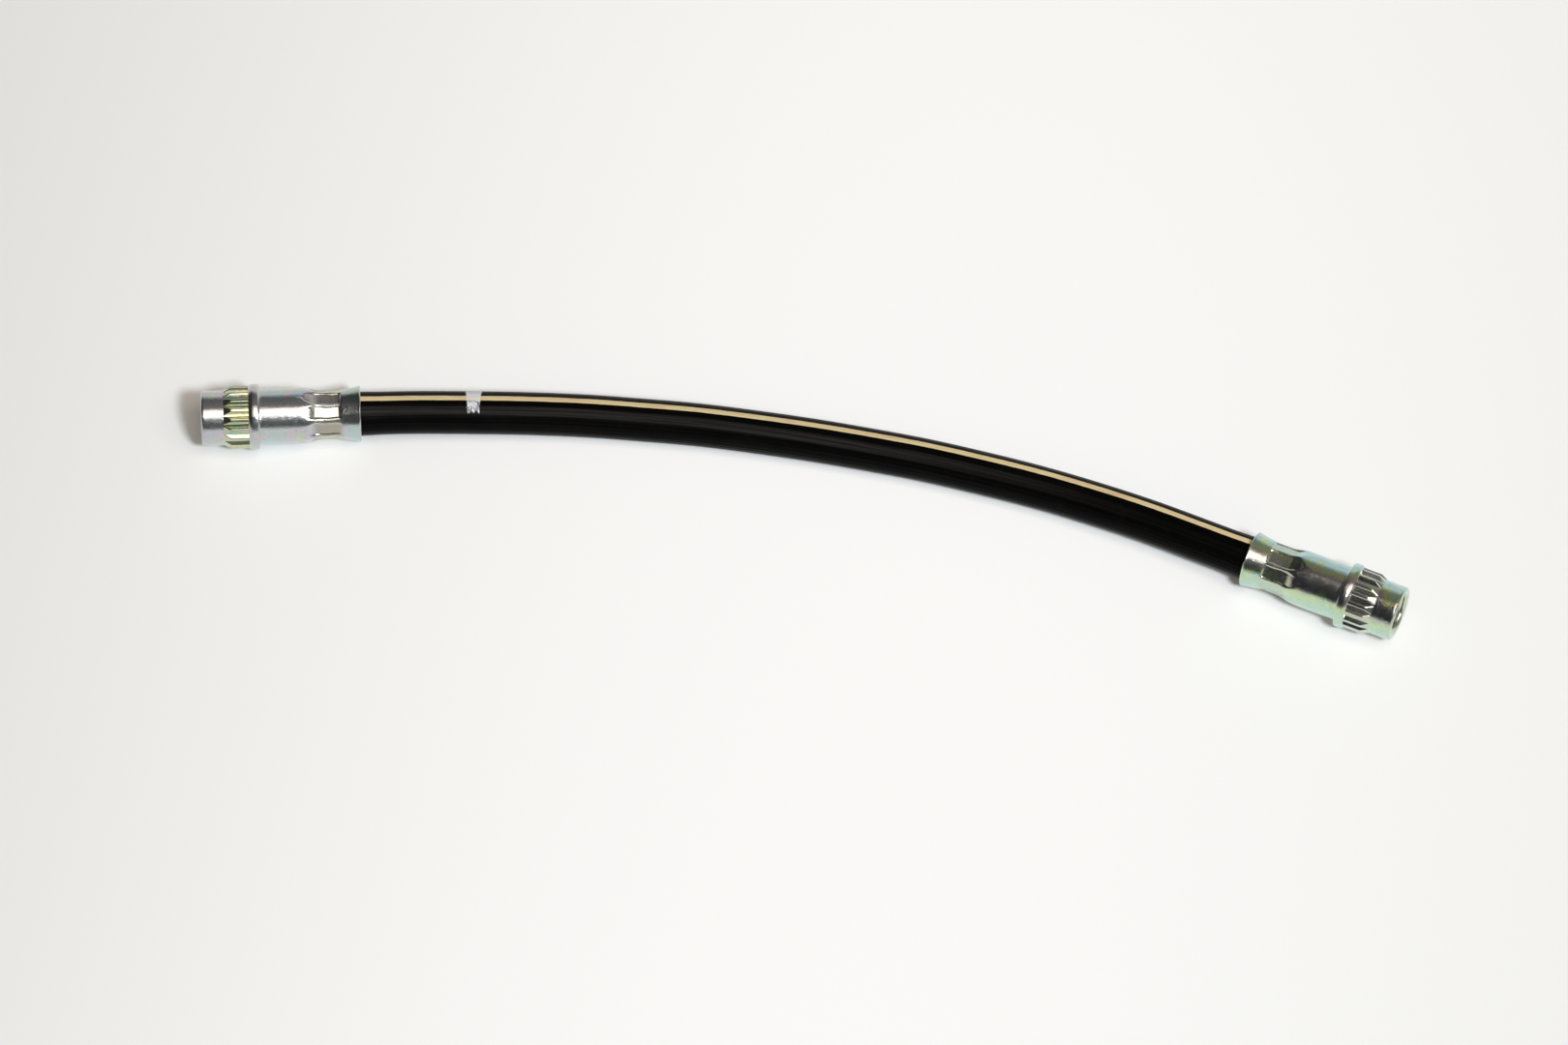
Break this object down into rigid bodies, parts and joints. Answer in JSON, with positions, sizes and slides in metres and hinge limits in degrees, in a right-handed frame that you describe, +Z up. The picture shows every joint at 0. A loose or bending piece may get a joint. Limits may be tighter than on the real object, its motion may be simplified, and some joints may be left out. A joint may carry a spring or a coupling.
{
  "type": "brake hose",
  "caption": "Flexible hydraulic brake hose: reinforced rubber hose with a crimped, splined steel socket fitting on each end, lying in a shallow bow.",
  "frame": {"origin": "on the table, under the middle of the box round the two end fittings", "axes": "+X from the left end fitting towards the right one, +Z up from the table, +Y towards the side that the hose bows to"},
  "size_m": [0.2978, 0.0351, 0.0162],
  "materials": {
    "plated_steel": "bright zinc plating with a faint iridescent passivation, fine turning marks",
    "cover_rubber": "satin black rubber with fine lengthwise ribs, a cream line and a white paint dab",
    "braid_textile": "raw textile braid",
    "liner_rubber": "smooth black rubber"
  },
  "bodies": {
    "root": {"end_fitting_left": "plated_steel", "end_fitting_right": "plated_steel", "hose_cover": "cover_rubber", "hose_braid": "braid_textile", "hose_liner": "liner_rubber"}
  },
  "joints": []
}
